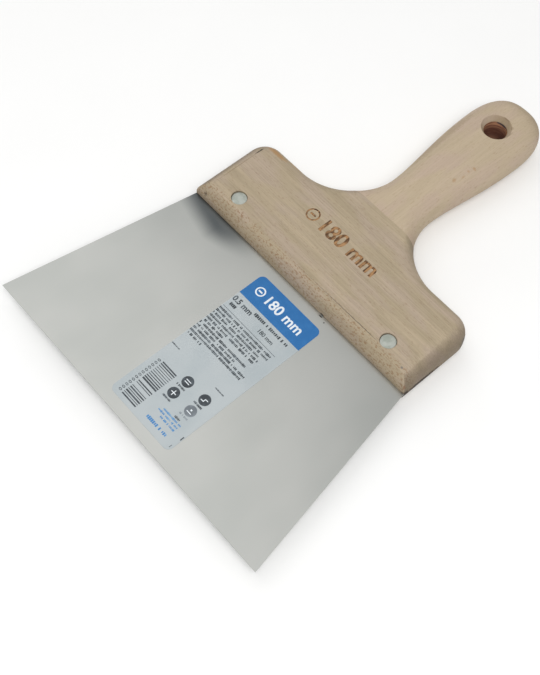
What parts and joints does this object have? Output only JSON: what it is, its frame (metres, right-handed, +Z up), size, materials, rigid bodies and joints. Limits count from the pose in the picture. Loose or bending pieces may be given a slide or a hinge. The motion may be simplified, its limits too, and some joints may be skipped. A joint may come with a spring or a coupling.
{
  "type": "taping knife",
  "caption": "Wide drywall taping knife: thin flared steel blade held in the kerf of a cross-grain beech head by two rivets, with a rounded beech grip and a hang hole.",
  "frame": {"origin": "bottom centre of the bounding box: midway between the working edge and the grip's tip, midway across, at the underside of the grip", "axes": "+Y along the tool from the working edge to the grip's tip, +X across the blade, +Z up out of the labelled face; the blade lies at mid-thickness, 11.3 mm above the origin"},
  "size_m": [0.18, 0.2628, 0.0226],
  "materials": {
    "blade_steel": "satin, fine lengthwise grinding",
    "head_beech": "bare sanded beech, grain across the tool",
    "grip_beech": "bare sanded beech, grain along the tool",
    "dowel_beech": "bare turned beech",
    "rivet_aluminium": "dull",
    "label_film": "printed self-adhesive film"
  },
  "bodies": {
    "root": {"blade": "blade_steel", "head_block": "head_beech", "grip": "grip_beech", "dowel_left": "dowel_beech", "dowel_right": "dowel_beech", "rivet_tube_left": "rivet_aluminium", "rivet_tube_right": "rivet_aluminium", "rivet_pin_left": "rivet_aluminium", "rivet_pin_right": "rivet_aluminium", "label": "label_film"}
  },
  "joints": []
}
